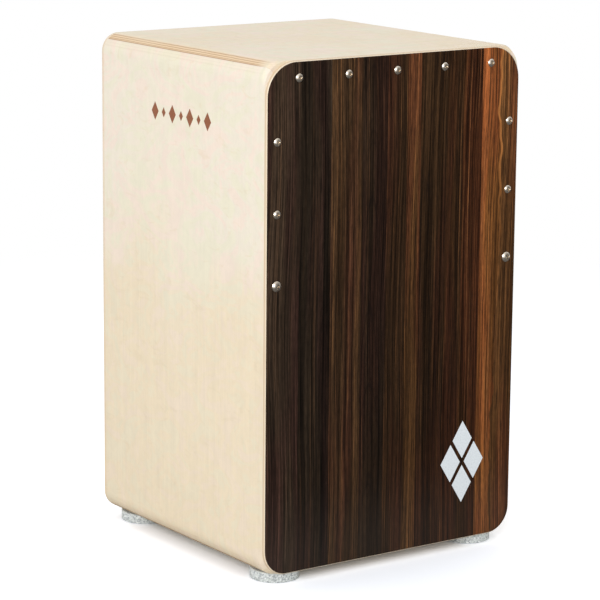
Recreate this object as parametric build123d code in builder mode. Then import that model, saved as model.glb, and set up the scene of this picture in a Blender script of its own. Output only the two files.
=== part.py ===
from build123d import *

import os
from math import cos, radians, sin, tan

# A full-size snare cajon: a mitred birch plywood box with a dark oak faced playing board,
# four feet, and a snare unit that pulls off its two rests inside the box.
#
# The origin is on the floor, under the middle of the object. +X is to the right of someone who
# faces the playing board, the playing board faces -Y, and +Z is up. Sizes are in millimetres.

# Overall sizes
WIDTH = 298.0
DEPTH = 294.0  # from the face of the playing board to the back of the back panel
BODY_HEIGHT = 490.0
FOOT_HEIGHT = 10.0

# Plywood box
WALL = 9.0
CORNER_R = 18.0  # the four long edges, front to back
EASED_TOP_R = 24.0  # the same edges where they meet the playing board
EASED_BOTTOM_R = 26.0
EASED_LENGTH = 5.0
BACK_PANEL = 6.0
EDGE_R = 3.0  # routed radius around the front and the back
SOUND_HOLE_R = 57.5
SOUND_HOLE_EDGE_R = 1.5
SOUND_HOLE_RISE = 235.0  # middle of the hole over the body's underside

# Playing board
BOARD = 4.0
VENEER = 0.6
BOARD_TOP_R = 33.0
BOARD_BOTTOM_R = 26.0

# Battens behind both boards, and glue blocks behind the mitres
BATTEN = 15.0
FRONT_BATTEN_DEPTH = 18.0
BACK_BATTEN_DEPTH = 15.0
BLOCK = 16.0
BLOCK_CHAMFER = 9.0

# Playing board screws
HEAD_R = 4.0
HEAD_HEIGHT = 2.3
LOW_HEAD_R = 5.0  # the lowest screw of each side column is a size larger
LOW_HEAD_HEIGHT = 2.8
HEAD_RIM = 0.5
SHANK_R = 1.75
SHANK_LENGTH = 20.0
POINT = 4.0
FIT = 0.02  # radial gap between a screw and its hole
TOP_ROW = 5
TOP_ROW_DROP = 16.0
TOP_ROW_PITCH = 56.5
SIDE_COLUMN = 3
SIDE_COLUMN_INSET = 12.0
SIDE_COLUMN_DROP = 74.0
SIDE_COLUMN_PITCH = 67.5

# Feet
FOOT_R = 24.0
FOOT_EDGE_R = 1.0
FOOT_INSET_X = 32.0
FOOT_INSET_Y = 29.0
FOOT_RECESS_R = 8.0
FOOT_RECESS = 5.0
FOOT_HOLE_R = 2.5
WASHER_R = 7.0
WASHER = 1.2
FOOT_SCREW_R = 2.0
FOOT_SCREW_HEAD_R = 4.2
FOOT_SCREW_HEAD = 2.4
FOOT_SCREW_GRIP = 7.5  # how far it goes into the bottom panel

# Cross recess in every screw head
CROSS_ARM = 1.2
CROSS_DEPTH = 1.5
CROSS_TAPER = 8.0

# Snare unit: a bar with a sloping back, two clamping plates and their coiled strands
BAR_LENGTH = 272.0
BAR_DEPTH = 20.0
BAR_HEIGHT = 34.0
BAR_RISE = 325.0  # its underside over the body's underside
BAR_STEP = 8.0  # upright part of its back, under the slope
SLOPE = 30.0  # degrees from upright, climbing towards the playing board
REST_X = 30.0
REST_Y = 10.0
REST_Z = 54.0
REST_CHAMFER = 4.0
PAD_X = 18.0
PAD_Z = 30.0
PAD = 1.5
PAD_CORNER_R = 2.0
PAD_GAP = 0.1
SET_X = 62.0  # middle of each snare set
STRANDS = 12
STRAND_PITCH = 3.4
STRAND_R = 1.0
STRAND_GAP = 0.4  # between the strands and the playing board
STRAND_BEND_R = 30.0
STRAND_UPRIGHT = 26.0
PLATE_WIDTH = 44.0
PLATE = 0.8
PLATE_BELOW = 12.0  # sheet under the fold, along the slope
PLATE_ABOVE = 8.0
PLATE_LIP = 7.0
PLATE_SCREW_SPREAD = 30.0
PLATE_SCREW_DROP = 7.0
PLATE_SCREW_R = 1.4
PLATE_SCREW_HEAD_R = 2.7
PLATE_SCREW_HEAD = 1.5
PLATE_SCREW_GRIP = 10.0

# Places worked out from the sizes above
FRONT = (LOW_HEAD_HEIGHT - DEPTH) / 2  # the screw heads stand out of the front
BACK = FRONT + DEPTH
BODY_FRONT = FRONT + BOARD
BODY_BACK = BACK - BACK_PANEL
BODY_DEPTH = BODY_BACK - BODY_FRONT
BOTTOM = FOOT_HEIGHT
TOP = BOTTOM + BODY_HEIGHT
MIDDLE_Z = (BOTTOM + TOP) / 2
HALF = WIDTH / 2
INNER = HALF - WALL
FLOOR_INSIDE = BOTTOM + WALL
CEILING = TOP - WALL
BEHIND_FRONT_BATTEN = BODY_FRONT + FRONT_BATTEN_DEPTH
BEHIND_REST = BEHIND_FRONT_BATTEN + REST_Y
BAR_FRONT = BEHIND_REST + 2 * PAD + PAD_GAP
BAR_BACK = BAR_FRONT + BAR_DEPTH
BAR_Z = BOTTOM + BAR_RISE
BAR_MIDDLE_Z = BAR_Z + BAR_HEIGHT / 2
REST_MIDDLE_X = INNER - REST_X / 2
SLOPE_RISE = BAR_HEIGHT - BAR_STEP
SLOPE_RUN = SLOPE_RISE * tan(radians(SLOPE))
STRAND_AXIS = PLATE + STRAND_R + FIT  # over the slope
FORWARD = (0, -1, 0)  # towards the player
SIDES = {"left": -1, "right": 1}
FEET = {
    "front_left": (FOOT_INSET_X - HALF, FRONT + FOOT_INSET_Y),
    "front_right": (HALF - FOOT_INSET_X, FRONT + FOOT_INSET_Y),
    "back_left": (FOOT_INSET_X - HALF, BACK - FOOT_INSET_Y),
    "back_right": (HALF - FOOT_INSET_X, BACK - FOOT_INSET_Y),
}


def level(z):
    """The level plane at height z."""
    return Plane.XY.offset(z)


def upright(y):
    """The plane at depth y that faces the player: local x is +X, local y is +Z."""
    return Plane.XZ.offset(-y)


def save(part, name):
    """Labels a finished piece and writes its file."""
    part.label = name
    export_step(part, f"parts/{name}.step")


def box_outline(plane, top_r, bottom_r):
    """The box's outline on a plane that faces the player, with its two corner radii."""
    with BuildSketch(plane) as outline:
        with Locations((0, MIDDLE_Z)):
            Rectangle(WIDTH, BODY_HEIGHT)
        fillet(outline.vertices().group_by(Axis.Y)[-1], top_r)
        fillet(outline.vertices().group_by(Axis.Y)[0], bottom_r)
    return outline.sketch


def cross_recess(plane, width):
    """The tapered cross that is cut out of a screw head, whose top is on this plane."""
    with BuildPart() as cross:
        with BuildSketch(plane):
            Rectangle(width, CROSS_ARM)
            Rectangle(CROSS_ARM, width)
        extrude(amount=-CROSS_DEPTH, taper=CROSS_TAPER)
    return cross.part


# The box


def eased_body():
    """The box's outer shape, whose long corners change their radius where they meet the board."""
    with BuildPart() as body:
        add(box_outline(upright(BODY_FRONT), EASED_TOP_R, EASED_BOTTOM_R))
        add(box_outline(upright(BODY_FRONT + EASED_LENGTH), CORNER_R, CORNER_R))
        loft(ruled=True)
        add(box_outline(upright(BODY_BACK), CORNER_R, CORNER_R))
        extrude(amount=BODY_DEPTH - EASED_LENGTH, dir=FORWARD)
    return body.part


def wall(length, middle, along):
    """One wall of the box, mitred at both ends.

    middle is the (x, z) of the middle of its outer face, and along its (x, z) direction.
    """
    place = Plane((middle[0], BODY_BACK, middle[1]), x_dir=(along[0], 0, along[1]), z_dir=(0, -1, 0))
    with BuildPart() as panel:
        with BuildSketch(place):
            Trapezoid(length, WALL, 45, rotation=180, align=(Align.CENTER, Align.MIN))
        extrude(amount=BODY_DEPTH)
        add(eased_body(), mode=Mode.INTERSECT)
    return panel.part


def drilled_bottom():
    """The bottom wall with its four foot screw holes."""
    with BuildPart() as panel:
        add(wall(WIDTH, (0, BOTTOM), (-1, 0)))
        with BuildSketch(level(BOTTOM)):
            with Locations(*FEET.values()):
                Circle(FOOT_SCREW_R + FIT)
        extrude(amount=FOOT_SCREW_GRIP, mode=Mode.SUBTRACT)
    return panel.part


def glue_block(side, end):
    """A long block behind a mitre. side is -1 left or 1 right, and end is -1 bottom or 1 top."""
    x = side * INNER
    z = CEILING if end > 0 else FLOOR_INSIDE
    deep_x = x - side * BLOCK
    deep_z = z - end * BLOCK
    cut = BLOCK_CHAMFER
    with BuildPart() as block:
        with BuildSketch(upright(BODY_BACK - BACK_BATTEN_DEPTH)):
            Polygon(
                (x, z),
                (deep_x, z),
                (deep_x, deep_z + end * cut),
                (deep_x + side * cut, deep_z),
                (x, deep_z),
                align=None,
            )
        extrude(amount=BODY_DEPTH - FRONT_BATTEN_DEPTH - BACK_BATTEN_DEPTH)
    return block.part


def back_panel():
    """The back panel with its sound hole and its routed edge."""
    hole_z = BOTTOM + SOUND_HOLE_RISE
    with BuildPart() as panel:
        add(box_outline(upright(BACK), CORNER_R, CORNER_R))
        extrude(amount=BACK_PANEL, dir=FORWARD)
        with BuildSketch(upright(BACK)):
            with Locations((0, hole_z)):
                Circle(SOUND_HOLE_R)
        extrude(amount=BACK_PANEL, mode=Mode.SUBTRACT)
        back_face = panel.faces().sort_by(Axis.Y)[-1]
        fillet(back_face.outer_wire().edges(), EDGE_R)
        rim = panel.faces().sort_by(Axis.Y)[-1].inner_wires().edges()
        fillet(rim, SOUND_HOLE_EDGE_R)
    return panel.part


# The battens


def screw_places():
    """Where the playing board screws are, as (x, z), by the batten that they are driven into."""
    first = -TOP_ROW_PITCH * (TOP_ROW - 1) / 2
    edge = HALF - SIDE_COLUMN_INSET
    row = [(first + k * TOP_ROW_PITCH, TOP - TOP_ROW_DROP) for k in range(TOP_ROW)]
    heights = [TOP - SIDE_COLUMN_DROP - k * SIDE_COLUMN_PITCH for k in range(SIDE_COLUMN)]
    return {"top": row, "left": [(-edge, z) for z in heights], "right": [(edge, z) for z in heights]}


def frame_layout():
    """The four battens of a frame, as their lowest and highest (x, z) corners."""
    inside = INNER - BATTEN
    low = FLOOR_INSIDE + BATTEN
    high = CEILING - BATTEN
    return {
        "top": ((-INNER, high), (INNER, CEILING)),
        "bottom": ((-INNER, FLOOR_INSIDE), (INNER, low)),
        "left": ((-INNER, low), (-inside, high)),
        "right": ((inside, low), (INNER, high)),
    }


def batten(corners, back, depth, screws):
    """A batten between two (x, z) corners, ending at depth back, with its screws' pilot holes."""
    low, high = corners
    with BuildPart() as bar:
        with BuildSketch(upright(back)):
            with Locations(((low[0] + high[0]) / 2, (low[1] + high[1]) / 2)):
                Rectangle(high[0] - low[0], high[1] - low[1])
        extrude(amount=depth)
        if screws:
            with BuildSketch(upright(FRONT + SHANK_LENGTH)):
                with Locations(*screws):
                    Circle(SHANK_R + FIT)
            extrude(amount=SHANK_LENGTH, mode=Mode.SUBTRACT)
    return bar.part


# The playing board and its screws


def playing_board():
    """The whole playing board: rounded corners, a routed front edge and its screw holes."""
    screws = sum(screw_places().values(), [])
    with BuildPart() as board:
        add(box_outline(upright(BODY_FRONT), BOARD_TOP_R, BOARD_BOTTOM_R))
        extrude(amount=BOARD, dir=FORWARD)
        fillet(board.faces().sort_by(Axis.Y)[0].edges(), EDGE_R)
        with BuildSketch(upright(BODY_FRONT)):
            with Locations(*screws):
                Circle(SHANK_R + FIT)
        extrude(amount=BOARD, mode=Mode.SUBTRACT)
    return board.part


def board_layer(keep):
    """One layer of the playing board: Keep.TOP is the veneer, and Keep.BOTTOM is the birch core."""
    with BuildPart() as layer:
        add(playing_board())
        split(bisect_by=upright(FRONT + VENEER), keep=keep)
    return layer.part


def board_screw(head_r, head_height):
    """A domed cross-head wood screw that points to +Y, with the underside of its head at y = 0."""
    rise = head_height - HEAD_RIM
    dome_r = (head_r**2 + rise**2) / (2 * rise)
    with BuildPart() as screw:
        with BuildSketch(Plane.XY):
            with BuildLine():
                Polyline(
                    (0, -head_height),
                    (0, SHANK_LENGTH),
                    (SHANK_R, SHANK_LENGTH - POINT),
                    (SHANK_R, 0),
                    (head_r, 0),
                    (head_r, -HEAD_RIM),
                )
                RadiusArc((head_r, -HEAD_RIM), (0, -head_height), dome_r)
            make_face()
        revolve(axis=Axis.Y)
        add(cross_recess(upright(-head_height), head_r), mode=Mode.SUBTRACT)
    return screw.part


def board_screws():
    """All the screws of the playing board. The lowest on each side have the larger head."""
    places = screw_places()
    low = [places["left"][-1], places["right"][-1]]
    rest = places["top"] + places["left"][:-1] + places["right"][:-1]
    with BuildPart() as group:
        with Locations(*[(x, FRONT, z) for x, z in rest]):
            add(board_screw(HEAD_R, HEAD_HEIGHT))
        with Locations(*[(x, FRONT, z) for x, z in low]):
            add(board_screw(LOW_HEAD_R, LOW_HEAD_HEIGHT))
    return group.part


# The feet


def foot(place):
    """A round foot with a recess in its underside for a washer and a screw."""
    with BuildPart() as pad:
        with BuildSketch(Plane((*place, 0))):
            Circle(FOOT_R)
        extrude(amount=FOOT_HEIGHT)
        fillet(pad.edges().filter_by(GeomType.CIRCLE), FOOT_EDGE_R)
        with BuildSketch(Plane((*place, 0))):
            Circle(FOOT_RECESS_R)
        extrude(amount=FOOT_RECESS, mode=Mode.SUBTRACT)
        with BuildSketch(Plane((*place, 0))):
            Circle(FOOT_HOLE_R)
        extrude(amount=FOOT_HEIGHT, mode=Mode.SUBTRACT)
    return pad.part


def foot_washers():
    """The washers that spread the foot screws' load."""
    with BuildPart() as group:
        with BuildSketch(level(FOOT_RECESS - WASHER)):
            with Locations(*FEET.values()):
                Circle(WASHER_R)
                Circle(FOOT_HOLE_R, mode=Mode.SUBTRACT)
        extrude(amount=WASHER)
    return group.part


def foot_screw():
    """A pan-head screw that points up, with its seat at z = 0."""
    length = WASHER + FOOT_HEIGHT - FOOT_RECESS + FOOT_SCREW_GRIP
    edge = 1.0
    with BuildPart() as screw:
        with BuildSketch(Plane.XZ):
            with BuildLine():
                Polyline(
                    (0, -FOOT_SCREW_HEAD),
                    (FOOT_SCREW_HEAD_R - edge, -FOOT_SCREW_HEAD),
                    (FOOT_SCREW_HEAD_R, edge - FOOT_SCREW_HEAD),
                    (FOOT_SCREW_HEAD_R, 0),
                    (FOOT_SCREW_R, 0),
                    (FOOT_SCREW_R, length - POINT),
                    (0, length),
                    close=True,
                )
            make_face()
        revolve(axis=Axis.Z)
        underside = Plane((0, 0, -FOOT_SCREW_HEAD), z_dir=(0, 0, -1))
        add(cross_recess(underside, FOOT_SCREW_HEAD_R), mode=Mode.SUBTRACT)
    return screw.part


def foot_screws():
    """The screws that hold the feet."""
    screw = foot_screw()
    with BuildPart() as group:
        with Locations(*[(x, y, FOOT_RECESS - WASHER) for x, y in FEET.values()]):
            add(screw)
    return group.part


# The snare unit and its rests


def snare_rest(side):
    """A block behind a front batten, which the snare bar is pressed against."""
    with BuildPart() as rest:
        with BuildSketch(upright(BEHIND_REST)):
            with Locations((side * REST_MIDDLE_X, BAR_MIDDLE_Z)):
                Rectangle(REST_X, REST_Z)
        extrude(amount=REST_Y)
        ends = rest.edges().filter_by(Axis.Y).group_by(Axis.X)
        chamfer(ends[-1] if side < 0 else ends[0], REST_CHAMFER)
    return rest.part


def fastener_pads(back):
    """The two hook or loop pads whose backs are at depth back."""
    with BuildPart() as pads:
        with BuildSketch(upright(back)):
            with Locations(*[(side * REST_MIDDLE_X, BAR_MIDDLE_Z) for side in SIDES.values()]):
                RectangleRounded(PAD_X, PAD_Z, PAD_CORNER_R)
        extrude(amount=PAD)
    return pads.part


def slope():
    """The plane of the bar's sloping back: local x is -X, and local y climbs to the board."""
    middle = (0, BAR_BACK - SLOPE_RUN / 2, BAR_Z + BAR_STEP + SLOPE_RISE / 2)
    return Plane(middle, x_dir=(-1, 0, 0), z_dir=(0, cos(radians(SLOPE)), sin(radians(SLOPE))))


def plate_screw_places():
    """Where the plates are screwed down, in the slope's plane."""
    half = PLATE_SCREW_SPREAD / 2
    return [(set_x + k, -PLATE_SCREW_DROP) for set_x in (-SET_X, SET_X) for k in (-half, half)]


def snare_bar():
    """The bar that carries both snare sets, with its screws' pilot holes."""
    bar_top = BAR_Z + BAR_HEIGHT
    with BuildPart() as bar:
        with BuildSketch(Plane.YZ.offset(-BAR_LENGTH / 2)):
            Polygon(
                (BAR_FRONT, BAR_Z),
                (BAR_BACK, BAR_Z),
                (BAR_BACK, BAR_Z + BAR_STEP),
                (BAR_BACK - SLOPE_RUN, bar_top),
                (BAR_FRONT, bar_top),
                align=None,
            )
        extrude(amount=BAR_LENGTH)
        with BuildSketch(slope()):
            with Locations(*plate_screw_places()):
                Circle(PLATE_SCREW_R + FIT)
        extrude(amount=-PLATE_SCREW_GRIP, mode=Mode.SUBTRACT)
    return bar.part


def snare_plate(side):
    """The folded steel plate that clamps the lower ends of one set's strands."""
    along = slope()
    end = along.from_local_coords((-side * SET_X - PLATE_WIDTH / 2, 0, 0))
    section = Plane(end, x_dir=along.y_dir, z_dir=(-1, 0, 0))
    fold = PLATE + 2 * (STRAND_R + FIT)
    with BuildPart() as plate:
        with BuildSketch(section):
            Polygon(
                (-PLATE_BELOW, 0),
                (PLATE_ABOVE, 0),
                (PLATE_ABOVE, PLATE),
                (0, PLATE),
                (0, fold),
                (PLATE_LIP, fold),
                (PLATE_LIP, fold + PLATE),
                (-PLATE, fold + PLATE),
                (-PLATE, PLATE),
                (-PLATE_BELOW, PLATE),
                align=None,
            )
        extrude(amount=PLATE_WIDTH)
        with BuildSketch(slope()):
            with Locations(*plate_screw_places()):
                Circle(PLATE_SCREW_R + FIT)
        extrude(amount=PLATE, mode=Mode.SUBTRACT)
    return plate.part


def plate_screws():
    """The screws that hold the plates on the bar."""
    along = slope()
    with BuildPart() as group:
        with BuildSketch(along.offset(-PLATE_SCREW_GRIP)):
            with Locations(*plate_screw_places()):
                Circle(PLATE_SCREW_R)
        extrude(amount=PLATE_SCREW_GRIP + PLATE)
        with BuildSketch(along.offset(PLATE)):
            with Locations(*plate_screw_places()):
                Circle(PLATE_SCREW_HEAD_R)
        extrude(amount=PLATE_SCREW_HEAD)
    return group.part


def strand_set(side):
    """One set's strands, each a plain rod of the coil's outer size.

    They follow the slope up to the playing board, and end upright behind it.
    """
    start = slope().from_local_coords((0, FIT, STRAND_AXIS))
    upright_y = BODY_FRONT + STRAND_GAP + STRAND_R
    bend_z = start.Z + (start.Y - upright_y) / tan(radians(SLOPE))
    with BuildPart() as strand:
        with BuildLine() as path:
            FilletPolyline(start, (0, upright_y, bend_z), (0, upright_y, bend_z + STRAND_UPRIGHT),
                           radius=STRAND_BEND_R)
        with BuildSketch(Plane(start, z_dir=path.line % 0)):
            Circle(STRAND_R)
        sweep(path=path.line)
    first = side * SET_X - STRAND_PITCH * (STRANDS - 1) / 2
    with BuildPart() as group:
        with Locations(*[(first + k * STRAND_PITCH, 0, 0) for k in range(STRANDS)]):
            add(strand.part)
    return group.part


def main():
    os.makedirs("parts", exist_ok=True)
    save(wall(WIDTH, (0, TOP), (1, 0)), "top_panel")
    save(drilled_bottom(), "bottom_panel")
    save(wall(BODY_HEIGHT, (-HALF, MIDDLE_Z), (0, 1)), "left_side_panel")
    save(wall(BODY_HEIGHT, (HALF, MIDDLE_Z), (0, -1)), "right_side_panel")
    save(back_panel(), "back_panel")
    save(board_layer(Keep.BOTTOM), "tapa_core")
    save(board_layer(Keep.TOP), "tapa_veneer")
    save(board_screws(), "tapa_screws")

    for name, corners in frame_layout().items():
        screws = screw_places().get(name, [])
        save(batten(corners, BEHIND_FRONT_BATTEN, FRONT_BATTEN_DEPTH, screws), f"front_{name}_batten")
        save(batten(corners, BODY_BACK, BACK_BATTEN_DEPTH, []), f"back_{name}_batten")

    for name, place in FEET.items():
        save(foot(place), f"{name}_foot")
    save(foot_washers(), "foot_washers")
    save(foot_screws(), "foot_screws")

    for name, side in SIDES.items():
        save(glue_block(side, 1), f"top_{name}_glue_block")
        save(glue_block(side, -1), f"bottom_{name}_glue_block")
        save(snare_rest(side), f"{name}_snare_rest")
        save(snare_plate(side), f"{name}_snare_plate")
        save(strand_set(side), f"{name}_snare_strands")

    save(fastener_pads(BEHIND_REST + PAD), "hook_pads")
    save(fastener_pads(BAR_FRONT), "loop_pads")
    save(snare_bar(), "snare_bar")
    save(plate_screws(), "plate_screws")


main()
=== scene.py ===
from math import cos, pi, radians, sin, sqrt

import bmesh
import bpy
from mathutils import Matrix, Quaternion, Vector


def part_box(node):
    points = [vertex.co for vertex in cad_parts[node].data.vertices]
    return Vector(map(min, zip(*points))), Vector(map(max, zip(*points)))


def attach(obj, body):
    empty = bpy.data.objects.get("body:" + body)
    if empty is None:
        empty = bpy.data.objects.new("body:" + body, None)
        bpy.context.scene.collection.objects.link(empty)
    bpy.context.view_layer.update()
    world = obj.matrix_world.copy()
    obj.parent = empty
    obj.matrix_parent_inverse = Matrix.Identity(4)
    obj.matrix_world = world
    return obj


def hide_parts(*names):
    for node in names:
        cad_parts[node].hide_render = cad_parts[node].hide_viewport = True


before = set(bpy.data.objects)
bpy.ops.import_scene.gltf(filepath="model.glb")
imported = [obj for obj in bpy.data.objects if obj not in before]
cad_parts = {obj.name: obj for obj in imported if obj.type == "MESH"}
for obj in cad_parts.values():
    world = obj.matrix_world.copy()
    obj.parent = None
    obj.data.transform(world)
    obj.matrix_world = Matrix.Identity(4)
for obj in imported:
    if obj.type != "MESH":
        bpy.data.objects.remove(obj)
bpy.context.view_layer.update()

# A snare cajon in a bright studio: a pale birch plywood box with a dark oak playing board.
# Lengths are in metres. +X is to the right of someone facing the playing board, -Y is where it
# faces, and +Z is up.

MM = 0.001

# Places read from the frame
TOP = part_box("top_panel")[1].z
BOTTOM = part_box("bottom_panel")[0].z
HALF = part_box("right_side_panel")[1].x
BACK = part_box("back_panel")[1].y
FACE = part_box("tapa_veneer")[0].y
BOARD_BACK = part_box("tapa_core")[1].y
MIDDLE_Z = (TOP + BOTTOM) / 2

# Plywood
WALL = 9 * MM
FACE_PLY = 1.4 * MM
PLY = 1.45 * MM
GLUE_LINE = 0.36 * MM

# Camera
CAMERA_PLACE = (-1.53253, -2.17066, 0.79164)
CAMERA_AZIMUTH = -35.084
CAMERA_ELEVATION = 11.784
CAMERA_ROLL = 0.501
CAMERA_LENS = 162.352


def srgb(red, green, blue):
    """A display colour, 0 to 255, as the linear colour that a shader takes."""
    def linear(level):
        share = level / 255
        return share / 12.92 if share <= 0.04045 else ((share + 0.055) / 1.055) ** 2.4
    return (linear(red), linear(green), linear(blue), 1.0)


class Shader:
    """One material's nodes. Each method adds a node and returns what comes out of it."""

    def __init__(self, name):
        self.material = bpy.data.materials.new(name)
        self.material.use_nodes = True
        self.tree = self.material.node_tree
        self.surface = self.tree.nodes["Principled BSDF"]
        self.place = self.node("ShaderNodeTexCoord").outputs["Object"]
        split = self.node("ShaderNodeSeparateXYZ")
        self.feed(split.inputs[0], self.place)
        self.x, self.y, self.z = split.outputs

    def node(self, kind):
        return self.tree.nodes.new(kind)

    def feed(self, socket, value):
        """Links an output to the socket, or sets the socket to a constant."""
        if isinstance(value, bpy.types.NodeSocket):
            self.tree.links.new(value, socket)
        else:
            socket.default_value = value

    def set(self, name, value):
        self.feed(self.surface.inputs[name], value)

    def math(self, operation, first, second=0.0, third=0.0):
        made = self.node("ShaderNodeMath")
        made.operation = operation
        for socket, value in zip(made.inputs, (first, second, third)):
            self.feed(socket, value)
        return made.outputs[0]

    def add(self, first, second):
        return self.math("ADD", first, second)

    def subtract(self, first, second):
        return self.math("SUBTRACT", first, second)

    def times(self, first, second):
        return self.math("MULTIPLY", first, second)

    def size_of(self, value):
        return self.math("ABSOLUTE", value)

    def between(self, value, low, high, to_low=0.0, to_high=1.0):
        """value's run from low to high, smoothly turned into a run from to_low to to_high."""
        made = self.node("ShaderNodeMapRange")
        made.interpolation_type = "SMOOTHSTEP"
        for socket, number in zip(made.inputs, (value, low, high, to_low, to_high)):
            self.feed(socket, number)
        return made.outputs[0]

    def mix(self, share, first, second, blend="MIX"):
        made = self.node("ShaderNodeMix")
        made.data_type = "RGBA"
        made.blend_type = blend
        self.feed(made.inputs[0], share)
        self.feed(made.inputs[6], first)
        self.feed(made.inputs[7], second)
        return made.outputs[2]

    def vector(self, x, y, z):
        made = self.node("ShaderNodeCombineXYZ")
        for socket, value in zip(made.inputs, (x, y, z)):
            self.feed(socket, value)
        return made.outputs[0]

    def stretched(self, x, y, z, shift=(0.0, 0.0, 0.0)):
        """The place, with each axis scaled, so that a texture is drawn out along the small ones."""
        made = self.node("ShaderNodeMapping")
        self.feed(made.inputs["Vector"], self.place)
        made.inputs["Scale"].default_value = (x, y, z)
        made.inputs["Location"].default_value = shift
        return made.outputs[0]

    def noise(self, vector, detail=3.0, roughness=0.55, distortion=0.0):
        made = self.node("ShaderNodeTexNoise")
        self.feed(made.inputs["Vector"], vector)
        made.inputs["Scale"].default_value = 1.0
        made.inputs["Detail"].default_value = detail
        made.inputs["Roughness"].default_value = roughness
        made.inputs["Distortion"].default_value = distortion
        return made.outputs[0]

    def cells(self, vector, output="Distance"):
        made = self.node("ShaderNodeTexVoronoi")
        self.feed(made.inputs["Vector"], vector)
        made.inputs["Scale"].default_value = 1.0
        return made.outputs[output]

    def ramp(self, value, stops, interpolation="LINEAR"):
        """stops are (place from 0 to 1, colour)."""
        made = self.node("ShaderNodeValToRGB")
        self.feed(made.inputs[0], value)
        made.color_ramp.interpolation = interpolation
        points = made.color_ramp.elements
        while len(points) < len(stops):
            points.new(1.0)
        for point, (place, colour) in zip(points, stops):
            point.position = place
            point.color = colour
        return made.outputs[0]

    def bump(self, height, strength, distance, under=None):
        made = self.node("ShaderNodeBump")
        made.inputs["Strength"].default_value = strength
        made.inputs["Distance"].default_value = distance
        self.feed(made.inputs["Height"], height)
        if under is not None:
            self.feed(made.inputs["Normal"], under)
        return made.outputs[0]


def level(value):
    """A grey for a mask or a factor."""
    return (value, value, value, 1.0)


# Birch plywood

BIRCH_PALE = srgb(226, 217, 200)
BIRCH_WARM = srgb(228, 212, 184)
BIRCH_GREEN = srgb(223, 217, 194)
BIRCH_PINK = srgb(230, 213, 198)
BIRCH_SHADE = srgb(216, 198, 166)
PLY_BAND = srgb(222, 196, 160)
PLY_BAND_CROSS = srgb(204, 170, 130)
PLY_GLUE = srgb(158, 112, 70)
MITRE_LINE = srgb(150, 104, 66)


def birch_face(shader, across, up, low, high):
    """The colour of a birch veneer. across and up are scales that say which way its grain runs.

    From the height low up to high it turns paler and more mottled, and its grain fainter.
    """
    fibre = shader.noise(shader.stretched(*[1000 * a + 22 * u for a, u in zip(across, up)]), 4.0, 0.65)
    strand = shader.noise(shader.stretched(*[210 * a + 5 * u for a, u in zip(across, up)]), 4.0, 0.6, 0.8)
    ripple = shader.noise(shader.stretched(*[26 * a + 60 * u for a, u in zip(across, up)]), 3.0, 0.6, 2.2)
    mottle = shader.noise(shader.stretched(90, 90, 70, (3.1, 0.7, 1.9)), 4.0, 0.7, 0.8)
    tint = shader.noise(shader.stretched(17, 17, 25, (0.4, 5.2, 2.6)), 3.0, 0.6, 2.2)
    cloud = shader.noise(shader.stretched(7, 7, 7, (0.9, 2.2, 0.6)), 1.0, 0.5, 0.5)
    along = shader.add(shader.between(shader.z, low, high), shader.between(cloud, 0.3, 0.7, -0.2, 0.2))
    colour = shader.mix(shader.between(along, 0.1, 1.0), BIRCH_WARM, BIRCH_PALE)
    lively = shader.between(along, 0.0, 0.8, 0.35, 0.85)
    colour = shader.mix(shader.times(shader.between(tint, 0.51, 0.6), lively), colour, BIRCH_GREEN)
    colour = shader.mix(shader.times(shader.between(tint, 0.49, 0.4), lively), colour, BIRCH_PINK)
    colour = shader.mix(shader.between(ripple, 0.56, 0.72, 0.0, 0.3), colour, BIRCH_SHADE)
    plain = shader.between(along, 0.0, 0.8, 0.968, 0.992)
    shade = shader.between(strand, 0.3, 0.7, plain, 1.012)
    shade = shader.times(shade, shader.between(fibre, 0.25, 0.75, plain, 1.012))
    shade = shader.times(shade, shader.between(mottle, 0.35, 0.65, 0.975, 1.015))
    return shader.mix(1.0, colour, shader.vector(shade, shade, shade), "MULTIPLY"), fibre, ripple


def ply_stops(thickness, first, band, glue):
    """The colours through a sheet: band for the plies, and glue at each line between two of them."""
    stops = [(0.0, band)]
    half = GLUE_LINE / thickness
    line = first
    while line < thickness - first * 0.6:
        place = line / thickness
        stops += [(place - half, band), (place, glue), (place + half, band)]
        line += PLY
    return stops


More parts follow.
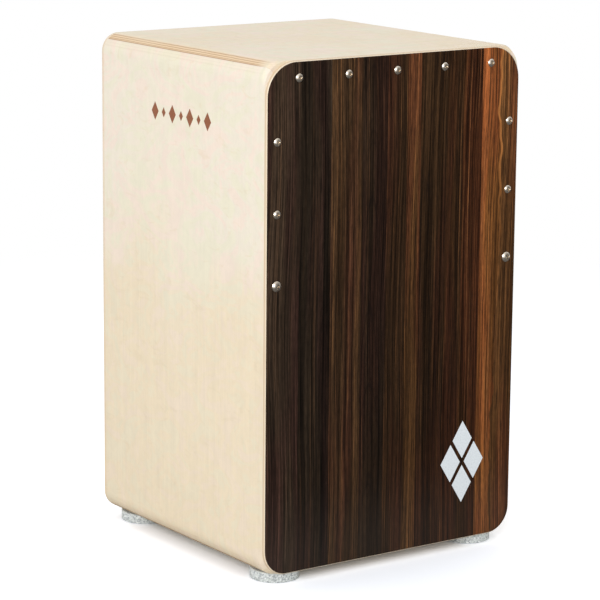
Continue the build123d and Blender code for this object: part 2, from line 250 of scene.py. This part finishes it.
def birch_ply(name, depth_of, across, up, pale_from, edge_strength=1.0, thickness=WALL, corner=True):
    """Birch plywood whose faces show the veneer and whose edges show the plies.

    depth_of says how far a point is below the outer face, and across and up which way the grain runs.
    The veneer turns paler from the height pale_from upwards. edge_strength says how plainly the
    plies show, and corner adds the mitre's glue line where two panels meet.
    """
    shader = Shader(name)
    depth = depth_of(shader)
    wobble = shader.noise(shader.stretched(60, 60, 60), 2.0)
    wavy = shader.add(depth, shader.between(wobble, 0.3, 0.7, -0.1 * MM, 0.1 * MM))
    face, fibre, ripple = birch_face(shader, across, up, pale_from, pale_from + 0.25)
    share = shader.math("DIVIDE", wavy, thickness)
    plies = shader.ramp(share, ply_stops(thickness, FACE_PLY, PLY_BAND, PLY_GLUE))
    end_grain = shader.noise(shader.stretched(420, 420, 420), 3.0, 0.7)
    plies = shader.mix(shader.between(end_grain, 0.4, 0.75, 0.0, 0.35), plies, PLY_BAND_CROSS)
    outside = shader.between(depth, 0.35 * MM, FACE_PLY)
    inside = shader.between(depth, thickness - FACE_PLY * 0.5, thickness - 0.2 * MM, 1.0, 0.0)
    patchy = shader.between(shader.noise(shader.stretched(25, 9, 25), 3.0), 0.3, 0.6, 0.75, 1.0)
    eased = shader.between(shader.y, BOARD_BACK + 4 * MM, BOARD_BACK + 26 * MM, 0.15, 1.0)
    patchy = shader.times(patchy, eased)
    edge = shader.times(shader.times(outside, inside), shader.times(patchy, edge_strength))
    colour = shader.mix(edge, face, plies)
    if corner:
        from_side = shader.subtract(HALF, shader.size_of(shader.x))
        from_end = shader.subtract(TOP - MIDDLE_Z, shader.size_of(shader.subtract(shader.z, MIDDLE_Z)))
        apart = shader.size_of(shader.subtract(from_side, from_end))
        seam = shader.times(shader.between(apart, 0.2 * MM, 1.1 * MM, 0.8, 0.0),
                            shader.between(from_side, 0.8 * MM, 1.8 * MM))
        seam = shader.times(seam, eased)
        colour = shader.mix(seam, colour, MITRE_LINE)
    shader.set("Base Color", colour)
    shader.set("Roughness", shader.between(ripple, 0.3, 0.7, 0.46, 0.56))
    shader.set("Specular IOR Level", 0.35)
    shader.set("Coat Weight", 0.12)
    shader.set("Coat Roughness", 0.3)
    shader.set("Normal", shader.bump(fibre, 0.12, 0.06 * MM))
    return shader.material


def depth_under_top(shader):
    return shader.subtract(TOP, shader.z)


def depth_over_bottom(shader):
    return shader.subtract(shader.z, BOTTOM)


def depth_in_side(shader):
    return shader.subtract(HALF, shader.size_of(shader.x))


def depth_in_back(shader):
    return shader.subtract(BACK, shader.y)


# The playing board

# Where each veneer strip starts, from left to right in millimetres from the middle, its colour,
# and how many bright streaks it carries
STRIPS = (
    (-149, srgb(51, 37, 30), 0.08),
    (-112, srgb(36, 26, 20), 0.12),
    (-84, srgb(31, 22, 17), 0.08),
    (-76, srgb(55, 36, 23), 0.26),
    (-40, srgb(35, 23, 16), 0.14),
    (-11, srgb(47, 29, 17), 0.50),
    (12, srgb(75, 47, 26), 0.85),
    (28, srgb(44, 27, 15), 0.30),
    (60, srgb(45, 26, 13), 0.42),
    (80, srgb(50, 28, 12), 0.50),
    (103, srgb(106, 63, 30), 0.70),
    (124, srgb(84, 52, 28), 0.70),
)
OAK_STREAK = srgb(136, 90, 52)
OAK_GLOW = srgb(186, 120, 62)
# Painted reflection of the pale floor, a grey haze laid on the foot of the board
OAK_FLOOR_REFLECTION = srgb(92, 86, 80)
GLOW_X = 124 * MM
OAK_DEEP = srgb(20, 13, 10)
OAK_RED = (1.12, 0.93, 0.90, 1.0)
OAK_OLIVE = (0.97, 1.04, 0.86, 1.0)
CATHEDRAL_X = -27 * MM
CATHEDRAL_HALF = 14 * MM


def strip_ramp(shader, place, values):
    """A ramp across the board with one constant step for each strip."""
    across = shader.between(place, -HALF, HALF)
    across.node.interpolation_type = "LINEAR"
    starts = [(x * MM + HALF) / (2 * HALF) for x, _, _ in STRIPS]
    return shader.ramp(across, list(zip(starts, values)), "CONSTANT")


def dark_oak():
    """Upright strips of dark oak veneer, each with its own tone, streaks, pores and figure."""
    shader = Shader("dark_oak")
    waves = shader.noise(shader.stretched(4, 0, 8.5, (0.0, 0.0, 1.7)), 3.0, 0.6)
    wavy = shader.times(shader.between(waves, 0.3, 0.7, -7 * MM, 7 * MM),
                        shader.between(shader.x, 104 * MM, 120 * MM))
    place = shader.add(shader.x, wavy)
    tone = strip_ramp(shader, place, [colour for _, colour, _ in STRIPS])
    bright = strip_ramp(shader, place, [level(share) for _, _, share in STRIPS])
    strip = strip_ramp(shader, place, [level((k * 0.37) % 1) for k in range(len(STRIPS))])
    sway = shader.noise(shader.stretched(7, 7, 3), 1.0)
    x = shader.add(shader.x, shader.between(sway, 0.3, 0.7, -3 * MM, 3 * MM))
    apart = shader.times(strip, 40.0)

    def streaks(across, along, detail, roughness=0.6):
        return shader.noise(shader.vector(shader.times(x, across), apart, shader.times(shader.z, along)),
                            detail, roughness)

    broad = streaks(55, 1.6, 2.0)
    medium = streaks(260, 2.4, 3.0, 0.7)
    fine = streaks(640, 5.0, 3.0, 0.75)
    grain = streaks(900, 110, 2.0, 0.7)
    pores = streaks(1100, 30, 2.0, 0.6)
    lines = streaks(420, 1.8, 4.0, 0.8)
    hue = streaks(34, 2.6, 2.0)

    shade = shader.between(broad, 0.34, 0.66, 0.78, 1.22)
    shade = shader.times(shade, shader.between(medium, 0.34, 0.66, 0.66, 1.30))
    shade = shader.times(shade, shader.between(fine, 0.36, 0.64, 0.42, 1.58))
    shade = shader.times(shade, shader.between(grain, 0.34, 0.66, 0.82, 1.18))
    # Painted light: the board is made lighter towards the top and darker lower down, as if lit from above.
    shade = shader.times(shade, shader.between(shader.z, 0.36, 0.47, 1.0, 1.25))
    shade = shader.times(shade, shader.between(shader.z, 0.15, 0.40, 0.92, 1.06))
    colour = shader.mix(shader.between(hue, 0.42, 0.58), OAK_OLIVE, OAK_RED)
    colour = shader.mix(1.0, tone, colour, "MULTIPLY")
    streak = shader.times(shader.between(lines, 0.54, 0.66), bright)
    colour = shader.mix(shader.times(streak, 0.8), colour, OAK_STREAK)
    colour = shader.mix(1.0, colour, shader.vector(shade, shade, shade), "MULTIPLY")

    glow = shader.between(shader.size_of(shader.subtract(place, GLOW_X)), 0.2 * MM, 2.2 * MM, 0.7, 0.0)
    glow = shader.times(glow, shader.between(shader.z, 0.30, 0.42))
    colour = shader.mix(glow, colour, OAK_GLOW)

    side = shader.math("DIVIDE", shader.subtract(shader.x, CATHEDRAL_X), CATHEDRAL_HALF)
    arch = shader.add(shader.times(shader.times(side, side), 2.2), shader.times(shader.z, 26))
    arch = shader.add(arch, shader.between(sway, 0.3, 0.7, -1.5, 1.5))
    rings = shader.noise(shader.vector(shader.times(arch, 1.4), 0.0, 0.0), 3.0, 0.7)
    in_strip = shader.between(shader.size_of(side), 0.9, 1.05, 0.5, 0.0)
    colour = shader.mix(shader.times(in_strip, shader.between(rings, 0.5, 0.66)), colour, OAK_DEEP)

    pore = shader.between(pores, 0.54, 0.66)
    colour = shader.mix(shader.times(pore, 0.6), colour, OAK_DEEP)
    # Painted reflection: a grey sheen of the floor, strongest at the board's foot and gone 0.1 m up.
    colour = shader.mix(shader.between(shader.z, BOTTOM, BOTTOM + 0.1, 0.10, 0.0), colour, OAK_FLOOR_REFLECTION)
    shader.set("Base Color", colour)
    shader.set("Roughness", shader.between(medium, 0.3, 0.7, 0.36, 0.46))
    shader.set("Specular IOR Level", 0.10)
    relief = shader.subtract(fine, shader.times(pore, 0.8))
    shader.set("Normal", shader.bump(relief, 0.2, 0.08 * MM))
    return shader.material


def board_core():
    """The birch core of the playing board, whose rounded edge shows three plies."""
    shader = Shader("board_core")
    thickness = BOARD_BACK - FACE
    depth = shader.subtract(shader.y, FACE)
    share = shader.math("DIVIDE", depth, thickness)
    lines = [(0.0, srgb(222, 206, 182)), (0.36, srgb(222, 206, 182)), (0.42, srgb(184, 158, 126)),
             (0.48, srgb(208, 186, 156)), (0.66, srgb(208, 186, 156)), (0.72, srgb(184, 158, 126)),
             (0.78, srgb(224, 210, 188))]
    grain = shader.noise(shader.stretched(300, 60, 40), 3.0)
    colour = shader.mix(shader.between(grain, 0.35, 0.7, 0.0, 0.5), shader.ramp(share, lines),
                        srgb(204, 182, 152))
    shader.set("Base Color", colour)
    shader.set("Roughness", shader.between(grain, 0.3, 0.7, 0.42, 0.55))
    shader.set("Normal", shader.bump(grain, 0.1, 0.05 * MM))
    return shader.material


# Plain timber, metal, granulate and tape


def plain_timber(name, light, dark, across, up, ring=95):
    """Planed timber with growth rings and fine fibre, for the battens, blocks, rests and bar."""
    shader = Shader(name)
    rings = shader.noise(shader.stretched(*[ring * a + 3 * u for a, u in zip(across, up)]), 4.0, 0.6, 0.5)
    fibre = shader.noise(shader.stretched(*[1100 * a + 18 * u for a, u in zip(across, up)]), 3.0, 0.6)
    colour = shader.mix(shader.between(rings, 0.38, 0.66), light, dark)
    colour = shader.mix(shader.between(fibre, 0.45, 0.8, 0.0, 0.35), colour, dark)
    shader.set("Base Color", colour)
    shader.set("Roughness", shader.between(fibre, 0.3, 0.7, 0.62, 0.78))
    shader.set("Normal", shader.bump(fibre, 0.25, 0.08 * MM))
    return shader.material


def metal(name, colour, tint, low, high, scale=400):
    """Bright metal with faint stains and fine scratches."""
    shader = Shader(name)
    stain = shader.noise(shader.stretched(scale, scale, scale), 4.0, 0.6)
    scratch = shader.noise(shader.stretched(scale * 6, scale, scale * 0.6), 2.0)
    shader.set("Base Color", shader.mix(shader.between(stain, 0.35, 0.7), colour, tint))
    shader.set("Metallic", 1.0)
    shader.set("Roughness", shader.between(scratch, 0.3, 0.7, low, high))
    shader.set("Normal", shader.bump(scratch, 0.06, 0.03 * MM))
    return shader.material


def granulate():
    """Pressed pale grey granulate with darker and greenish crumbs, for the feet."""
    shader = Shader("granulate")
    crumbs = shader.cells(shader.stretched(800, 800, 800), "Color")
    crumb = shader.noise(crumbs, 0.0)
    grain = shader.cells(shader.stretched(800, 800, 800))
    colour = shader.ramp(crumb, [(0.0, srgb(132, 138, 140)), (0.38, srgb(158, 164, 166)),
                                 (0.46, srgb(198, 203, 203)), (0.56, srgb(214, 218, 218)),
                                 (0.64, srgb(192, 200, 195)), (0.72, srgb(228, 231, 231))])
    dirt = shader.noise(shader.stretched(180, 180, 180), 4.0)
    colour = shader.mix(shader.between(dirt, 0.45, 0.75, 0.0, 0.3), colour, srgb(160, 165, 165))
    shader.set("Base Color", colour)
    shader.set("Roughness", 0.85)
    shader.set("Normal", shader.bump(grain, 0.6, 0.35 * MM))
    return shader.material


def tape(name, colour, sheen):
    """Woven nylon tape with a nap."""
    shader = Shader(name)
    rows = shader.noise(shader.stretched(1500, 400, 1500), 2.0)
    nap = shader.cells(shader.stretched(1700, 1700, 1700))
    shader.set("Base Color", shader.mix(shader.between(rows, 0.3, 0.7), colour, srgb(58, 58, 62)))
    shader.set("Roughness", 0.9)
    shader.set("Sheen Weight", sheen)
    shader.set("Normal", shader.bump(nap, 0.8, 0.4 * MM))
    return shader.material


def print_ink(name, colour, worn):
    """A printed or burnt mark, slightly uneven."""
    shader = Shader(name)
    blot = shader.noise(shader.stretched(700, 700, 700), 4.0, 0.7)
    shader.set("Base Color", shader.mix(shader.between(blot, 0.4, 0.75), colour, worn))
    shader.set("Roughness", shader.between(blot, 0.3, 0.7, 0.45, 0.6))
    return shader.material


def paint(material, *nodes):
    """Gives CAD nodes their material."""
    for name in nodes:
        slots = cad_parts[name].data.materials
        slots.clear()
        slots.append(material)


def paint_frame():
    """Every CAD node's material."""
    x, y, z = (1, 0, 0), (0, 1, 0), (0, 0, 1)
    low, high = BOTTOM + 0.15, TOP - 0.1
    paint(birch_ply("birch_top", depth_under_top, y, x, high), "top_panel")
    paint(birch_ply("birch_bottom", depth_over_bottom, y, x, high), "bottom_panel")
    paint(birch_ply("birch_side", depth_in_side, y, z, low, 0.12), "left_side_panel", "right_side_panel")
    paint(birch_ply("birch_back", depth_in_back, x, z, low, 0.4, 6 * MM, False), "back_panel")
    paint(board_core(), "tapa_core")
    paint(dark_oak(), "tapa_veneer")

    light, dark = srgb(226, 200, 156), srgb(198, 158, 108)
    upright = plain_timber("spruce_upright", light, dark, (1, 1, 0), z)
    level_wood = plain_timber("spruce_level", light, dark, (0, 1, 1), x)
    deep = plain_timber("spruce_deep", light, dark, (1, 0, 1), y)
    ends = ("front", "back")
    paint(upright, *[f"{end}_{side}_batten" for end in ends for side in ("left", "right")])
    paint(level_wood, *[f"{end}_{side}_batten" for end in ends for side in ("top", "bottom")])
    paint(deep, *[f"{end}_{side}_glue_block" for end in ("top", "bottom") for side in ("left", "right")])
    beech_light, beech_dark = srgb(214, 176, 140), srgb(184, 136, 98)
    paint(plain_timber("beech_level", beech_light, beech_dark, (0, 1, 1), x), "snare_bar")
    paint(plain_timber("beech_upright", beech_light, beech_dark, (1, 1, 0), z),
          "left_snare_rest", "right_snare_rest")

    paint(metal("nickel", srgb(248, 238, 222), srgb(230, 214, 194), 0.24, 0.36), "tapa_screws")
    paint(metal("zinc", srgb(196, 199, 202), srgb(160, 164, 168), 0.35, 0.5),
          "foot_screws", "foot_washers", "plate_screws")
    paint(metal("plate_steel", srgb(206, 206, 204), srgb(182, 182, 180), 0.25, 0.4, 150),
          "left_snare_plate", "right_snare_plate")
    paint(granulate(), *[f"{end}_{side}_foot" for end in ends for side in ("left", "right")])
    paint(tape("hook_tape", srgb(26, 26, 28), 0.1), "hook_pads")
    paint(tape("loop_tape", srgb(30, 30, 33), 0.6), "loop_pads")


# Pieces made here


def mesh_piece(name, build, material, body, smooth=False):
    """A new mesh object that build fills through bmesh, riding on a CAD body."""
    mesh = bpy.data.meshes.new(name)
    made = bmesh.new()
    build(made)
    bmesh.ops.recalc_face_normals(made, faces=made.faces)
    made.to_mesh(mesh)
    made.free()
    for face in mesh.polygons:
        face.use_smooth = smooth
    mesh.materials.append(material)
    piece = bpy.data.objects.new(name, mesh)
    bpy.context.scene.collection.objects.link(piece)
    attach(piece, body)
    return piece


MARK_RELIEF = 0.06 * MM
MARK_BURIED = 0.2 * MM


def diamond(made, centre, half_width, half_height, right, out):
    """A thin closed rhombus that stands a hair out of a surface. right and out are its directions."""
    up = Vector((0, 0, 1))
    corners = (right * half_width, up * half_height, -right * half_width, -up * half_height)
    front = [made.verts.new(centre + corner + out * MARK_RELIEF) for corner in corners]
    back = [made.verts.new(centre + corner - out * MARK_BURIED) for corner in corners]
    made.faces.new(front)
    made.faces.new(reversed(back))
    for k in range(4):
        after = (k + 1) % 4
        made.faces.new((front[k], back[k], back[after], front[after]))


# The diamond marks: four together at the foot of the playing board, and a row on the left side
BOARD_MARK_X = 87 * MM
BOARD_MARK_Z = 80 * MM
BOARD_DIAMOND = (12 * MM, 19 * MM)
BOARD_DIAMOND_STEP = (14.5 * MM, 22.5 * MM)
SIDE_MARK_Y = 0.0
SIDE_MARK_DROP = 66 * MM
SIDE_DIAMONDS = 7
SIDE_DIAMOND_STEP = 15.5 * MM
SIDE_DIAMOND_BIG = (6.2 * MM, 9 * MM)
SIDE_DIAMOND_SMALL = (3.4 * MM, 4.9 * MM)


def board_mark(made):
    """Four rhombi in a larger rhombus."""
    right, out = Vector((1, 0, 0)), Vector((0, -1, 0))
    step_x, step_z = BOARD_DIAMOND_STEP
    for side_x, side_z in ((1, 0), (0, 1), (-1, 0), (0, -1)):
        centre = Vector((BOARD_MARK_X + side_x * step_x, FACE, BOTTOM + BOARD_MARK_Z + side_z * step_z))
        diamond(made, centre, *BOARD_DIAMOND, right, out)


def side_mark(made):
    """A row of rhombi, big and small in turn."""
    right, out = Vector((0, -1, 0)), Vector((-1, 0, 0))
    for k in range(SIDE_DIAMONDS):
        size = SIDE_DIAMOND_BIG if k % 2 == 0 else SIDE_DIAMOND_SMALL
        y = SIDE_MARK_Y + (k - (SIDE_DIAMONDS - 1) / 2) * SIDE_DIAMOND_STEP
        diamond(made, Vector((-HALF, y, TOP - SIDE_MARK_DROP)), *size, right, out)


# Snare strands

COIL_R = 0.82 * MM
WIRE_R = 0.16 * MM
COIL_PITCH = 1.5 * MM
COIL_STEPS = 9
WIRE_SIDES = 4
STRANDS = 12
STRAND_PITCH = 3.4 * MM
STRAND_R = 1.0 * MM
BEND_R = 30 * MM
SLOPE = radians(30)
UPRIGHT = 26 * MM


def strand_line(node):
    """The middle line of a strand, as a function of the distance along it, and its length.

    It climbs the slope of the bar towards the board, bends once, and ends upright behind the board.
    """
    low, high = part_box(node)
    upright_y = low.y + STRAND_R
    end_z = high.z
    tangent = BEND_R * sin(SLOPE / 2) / cos(SLOPE / 2)
    bend_z = end_z - UPRIGHT
    bend_centre = Vector((0, upright_y + BEND_R, bend_z - tangent))
    slope_way = Vector((0, -sin(SLOPE), cos(SLOPE)))
    foot_z = low.z + STRAND_R * sin(SLOPE)
    slope_end = Vector((0, upright_y, bend_z)) - slope_way * tangent
    slope_length = (slope_end.z - foot_z) / cos(SLOPE)
    arc_length = BEND_R * SLOPE
    top_length = UPRIGHT - tangent

    def at(distance):
        if distance < slope_length:
            return slope_end - slope_way * (slope_length - distance), slope_way
        if distance < slope_length + arc_length:
            turn = SLOPE - (distance - slope_length) / BEND_R
            point = bend_centre + BEND_R * Vector((0, -cos(turn), -sin(turn)))
            return point, Vector((0, -sin(turn), cos(turn)))
        rise = distance - slope_length - arc_length
        return Vector((0, upright_y, bend_z - tangent + rise)), Vector((0, 0, 1))

    return at, slope_length + arc_length + top_length


def coil(made, at, length, x):
    """A wire wound into a long open helix about the strand's line, with closed ends."""
    across = Vector((1, 0, 0))
    steps = int(length / COIL_PITCH * COIL_STEPS)
    rings = []
    for k in range(steps + 1):
        point, way = at(length * k / steps)
        out = way.cross(across)
        turn = 2 * pi * k / COIL_STEPS
        radial = across * cos(turn) + out * sin(turn)
        tangent = (out * cos(turn) - across * sin(turn)) * (2 * pi * COIL_R) + way * COIL_PITCH
        side = tangent.normalized().cross(radial)
        middle = point + across * x + radial * COIL_R
        ring = []
        for corner in range(WIRE_SIDES):
            angle = 2 * pi * (corner + 0.5) / WIRE_SIDES
            ring.append(made.verts.new(middle + (radial * cos(angle) + side * sin(angle)) * WIRE_R))
        rings.append(ring)
    for here, there in zip(rings, rings[1:]):
        for corner in range(WIRE_SIDES):
            after = (corner + 1) % WIRE_SIDES
            made.faces.new((here[corner], here[after], there[after], there[corner]))
    made.faces.new(rings[0])
    made.faces.new(reversed(rings[-1]))


def strands(side):
    """One snare set's strands as coiled wire."""
    node = f"{side}_snare_strands"
    low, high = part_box(node)
    middle = (low.x + high.x) / 2
    at, length = strand_line(node)

    def build(made):
        for k in range(STRANDS):
            coil(made, at, length, middle + (k - (STRANDS - 1) / 2) * STRAND_PITCH)

    wire = metal(f"{side}_wire", srgb(200, 202, 205), srgb(168, 170, 174), 0.22, 0.34, 300)
    piece = mesh_piece(f"{side}_coiled_strands", build, wire, "snare_unit", smooth=True)
    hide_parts(node)


# The studio

ROOM_SEEN = 1.0
ROOM_LIT = 0.85
ROOM_MIRRORED = 0.08  # what the board mirrors, in front on the right
DARK_WAY = (0.57, -0.8, 0.0)
DARK_FROM = 0.4  # cosines of the angle to that way
DARK_FULL = 0.88
KEY = ((-2.4, -2.2, 1.5), (0, 0, 0.15), 1.6, 55)  # place, aim, size and power
OVERHEAD = ((0.1, 0.2, 2.8), (0, 0, 0.3), 2.2, 6)
FLOOR_R = 1.6
FLOOR_LIT = 0.8
FLOOR_MIRRORED = 0.12
FLOOR_SEEN = (1.24, 1.27, 1.33, 1.0)
WHITE = (1.0, 1.0, 1.0, 1.0)


def make_camera():
    """The camera, by its place and the way it looks."""
    data = bpy.data.cameras.new("camera")
    data.lens = CAMERA_LENS
    data.sensor_width = 36
    data.clip_start = 0.05
    data.clip_end = 50
    camera = bpy.data.objects.new("camera", data)
    azimuth, elevation = radians(CAMERA_AZIMUTH), radians(CAMERA_ELEVATION)
    looks = Vector((-sin(azimuth) * cos(elevation), cos(azimuth) * cos(elevation), -sin(elevation)))
    camera.rotation_mode = "QUATERNION"
    roll = Quaternion((0, 0, 1), radians(CAMERA_ROLL))
    camera.rotation_quaternion = looks.to_track_quat("-Z", "Y") @ roll
    camera.location = CAMERA_PLACE
    bpy.context.scene.collection.objects.link(camera)
    bpy.context.scene.camera = camera


def make_floor():
    """A pale floor that fades into the white around it.

    The camera sees it bright, so that only the shadow close to the box shows, and the board mirrors
    a darker one.
    """
    shader = Shader("floor")
    tree = shader.tree
    path = shader.node("ShaderNodeLightPath")
    seen = path.outputs["Is Camera Ray"]
    bounced = shader.mix(path.outputs["Is Glossy Ray"], level(FLOOR_LIT), level(FLOOR_MIRRORED))
    diffuse = shader.node("ShaderNodeBsdfDiffuse")
    shader.feed(diffuse.inputs["Color"], shader.mix(seen, bounced, FLOOR_SEEN))
    reach = shader.math("SQRT", shader.add(shader.times(shader.x, shader.x),
                                           shader.times(shader.y, shader.y)))
    glow = shader.node("ShaderNodeEmission")
    glow.inputs["Color"].default_value = WHITE
    fade = shader.node("ShaderNodeMixShader")
    shader.feed(fade.inputs[0], shader.times(seen, shader.between(reach, 0.5, FLOOR_R * 0.95)))
    shader.feed(fade.inputs[1], diffuse.outputs[0])
    shader.feed(fade.inputs[2], glow.outputs[0])
    shader.feed(tree.nodes["Material Output"].inputs["Surface"], fade.outputs[0])
    mesh = bpy.data.meshes.new("floor")
    made = bmesh.new()
    bmesh.ops.create_circle(made, cap_ends=True, radius=FLOOR_R, segments=96)
    made.to_mesh(mesh)
    made.free()
    mesh.materials.append(shader.material)
    floor = bpy.data.objects.new("floor", mesh)
    bpy.context.scene.collection.objects.link(floor)


def area_light(name, place, aim, size, power):
    """A soft square light that faces its aim."""
    data = bpy.data.lights.new(name, "AREA")
    data.size = size
    data.energy = power
    light = bpy.data.objects.new(name, data)
    light.location = place
    way = Vector(aim) - Vector(place)
    light.rotation_mode = "QUATERNION"
    light.rotation_quaternion = way.to_track_quat("-Z", "Y")
    bpy.context.scene.collection.objects.link(light)


def make_light():
    """A white room, mirrored darker in front on the right, and a large soft key light on the left."""
    world = bpy.data.worlds.new("studio")
    bpy.context.scene.world = world
    world.use_nodes = True
    tree = world.node_tree
    nodes = tree.nodes
    background = nodes["Background"]
    coords = nodes.new("ShaderNodeTexCoord")
    dark_way = Vector(DARK_WAY).normalized()
    toward = nodes.new("ShaderNodeVectorMath")
    toward.operation = "DOT_PRODUCT"
    toward.inputs[1].default_value = dark_way
    tree.links.new(coords.outputs["Generated"], toward.inputs[0])
    fall = nodes.new("ShaderNodeMapRange")
    fall.interpolation_type = "SMOOTHSTEP"
    for socket, number in zip(fall.inputs[1:5], (DARK_FROM, DARK_FULL, ROOM_LIT, ROOM_MIRRORED)):
        socket.default_value = number
    tree.links.new(toward.outputs["Value"], fall.inputs[0])
    path = nodes.new("ShaderNodeLightPath")
    lit = nodes.new("ShaderNodeMix")
    lit.inputs[2].default_value = ROOM_LIT
    tree.links.new(path.outputs["Is Glossy Ray"], lit.inputs[0])
    tree.links.new(fall.outputs[0], lit.inputs[3])
    seen = nodes.new("ShaderNodeMix")
    seen.inputs[3].default_value = ROOM_SEEN
    tree.links.new(path.outputs["Is Camera Ray"], seen.inputs[0])
    tree.links.new(lit.outputs[0], seen.inputs[2])
    background.inputs["Color"].default_value = WHITE
    tree.links.new(seen.outputs[0], background.inputs["Strength"])

    area_light("key", *KEY)
    area_light("overhead", *OVERHEAD)
    bpy.context.scene.view_settings.view_transform = "Standard"


make_camera()
paint_frame()
mesh_piece("board_mark", board_mark, print_ink("pale_ink", srgb(216, 222, 226), srgb(196, 203, 208)), "box")
mesh_piece("side_mark", side_mark, print_ink("burnt_mark", srgb(132, 74, 40), srgb(156, 96, 58)), "box")
strands("left")
strands("right")
make_floor()
make_light()
